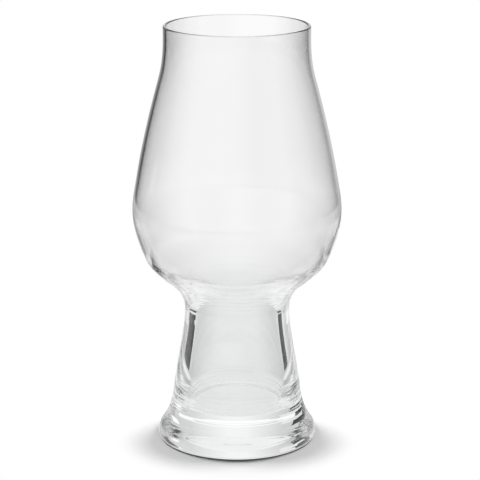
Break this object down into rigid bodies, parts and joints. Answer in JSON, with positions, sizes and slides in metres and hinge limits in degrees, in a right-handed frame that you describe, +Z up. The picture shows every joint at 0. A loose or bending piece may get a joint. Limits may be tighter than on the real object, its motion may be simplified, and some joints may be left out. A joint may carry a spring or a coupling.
{
  "type": "tulip beer glass",
  "caption": "Clear footed tulip beer glass: thin rounded bowl drawn in to a narrow lip, on a thick hollow stem and a heavy solid foot, for serving and drinking beer.",
  "frame": {"origin": "middle of the foot's underside, on the table", "axes": "+Z up the axis of the glass, towards the lip; X and Y are alike"},
  "size_m": [0.09, 0.09, 0.182],
  "materials": {
    "clear_glass": "clear fire-polished soda-lime glass, smooth and uncoloured"
  },
  "bodies": {
    "root": {"bowl": "clear_glass", "stem": "clear_glass", "foot": "clear_glass"}
  },
  "joints": []
}
